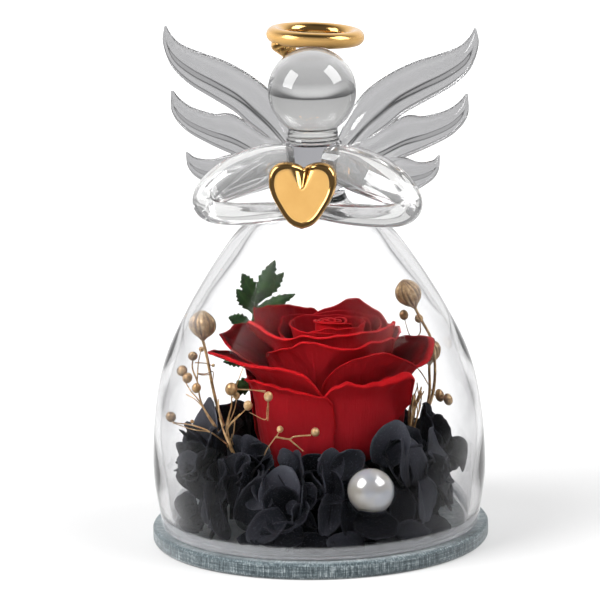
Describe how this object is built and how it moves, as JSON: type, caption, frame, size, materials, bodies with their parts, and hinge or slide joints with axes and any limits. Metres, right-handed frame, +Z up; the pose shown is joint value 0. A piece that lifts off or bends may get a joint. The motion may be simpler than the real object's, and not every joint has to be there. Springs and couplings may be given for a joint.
{
  "type": "preserved rose in glass dome",
  "caption": "Clear glass angel-shaped dome on a round felt-covered base, sealed over a red preserved rose with black hydrangea, gilt twigs, a leaf and a pearl.",
  "frame": {"origin": "centre of the base's underside", "axes": "+Z up through the head; the figure faces -Y, with its wings along X"},
  "size_m": [0.1, 0.1, 0.1526],
  "materials": {
    "clear_glass": "clear, polished",
    "polished_gold": "gilt mirror polish",
    "grey_felt": "grey-teal felt",
    "dark_foam": "dark floral foam",
    "green_calyx": "matt plant tissue",
    "red_petal": "velvety preserved petal",
    "black_petal": "dyed blue-black petal",
    "green_leaf": "matt green leaf",
    "gold_straw": "gilded dry stem",
    "white_pearl": "pearl lustre"
  },
  "bodies": {
    "root": {"arm_left": "clear_glass", "arm_right": "clear_glass", "base_board": "grey_felt", "floral_foam": "dark_foam", "glass_dome": "clear_glass", "gypsophila_front": "gold_straw", "gypsophila_left": "gold_straw", "gypsophila_right": "gold_straw", "halo_ring": "polished_gold", "head_ball": "clear_glass", "heart": "polished_gold", "hydrangea_inner_1": "black_petal", "hydrangea_inner_2": "black_petal", "hydrangea_inner_3": "black_petal", "hydrangea_inner_4": "black_petal", "hydrangea_inner_5": "black_petal", "hydrangea_inner_6": "black_petal", "hydrangea_inner_7": "black_petal", "hydrangea_inner_8": "black_petal", "hydrangea_middle_1": "black_petal", "hydrangea_middle_2": "black_petal", "hydrangea_middle_3": "black_petal", "hydrangea_middle_4": "black_petal", "hydrangea_middle_5": "black_petal", "hydrangea_middle_6": "black_petal", "hydrangea_outer_1": "black_petal", "hydrangea_outer_2": "black_petal", "hydrangea_outer_3": "black_petal", "hydrangea_outer_4": "black_petal", "hydrangea_outer_5": "black_petal", "hydrangea_outer_6": "black_petal", "hydrangea_outer_7": "black_petal", "hydrangea_outer_8": "black_petal", "leaf_frond": "green_leaf", "pearl": "white_pearl", "petal_cup_back_left": "red_petal", "petal_cup_back_right": "red_petal", "petal_cup_front": "red_petal", "petal_cup_left": "red_petal", "petal_cup_right": "red_petal", "petal_heart_left": "red_petal", "petal_heart_right": "red_petal", "petal_inner_back": "red_petal", "petal_inner_front": "red_petal", "petal_outer_back_left": "red_petal", "petal_outer_back_right": "red_petal", "petal_outer_front_left": "red_petal", "petal_outer_front_right": "red_petal", "petal_outer_right": "red_petal", "petal_spread_back": "red_petal", "petal_spread_left": "red_petal", "petal_spread_right": "red_petal", "rose_bud": "red_petal", "rose_receptacle": "green_calyx", "seed_pod_left": "gold_straw", "seed_pod_right_lower": "gold_straw", "seed_pod_right_upper": "gold_straw", "wing_left": "clear_glass", "wing_right": "clear_glass"}
  },
  "joints": []
}
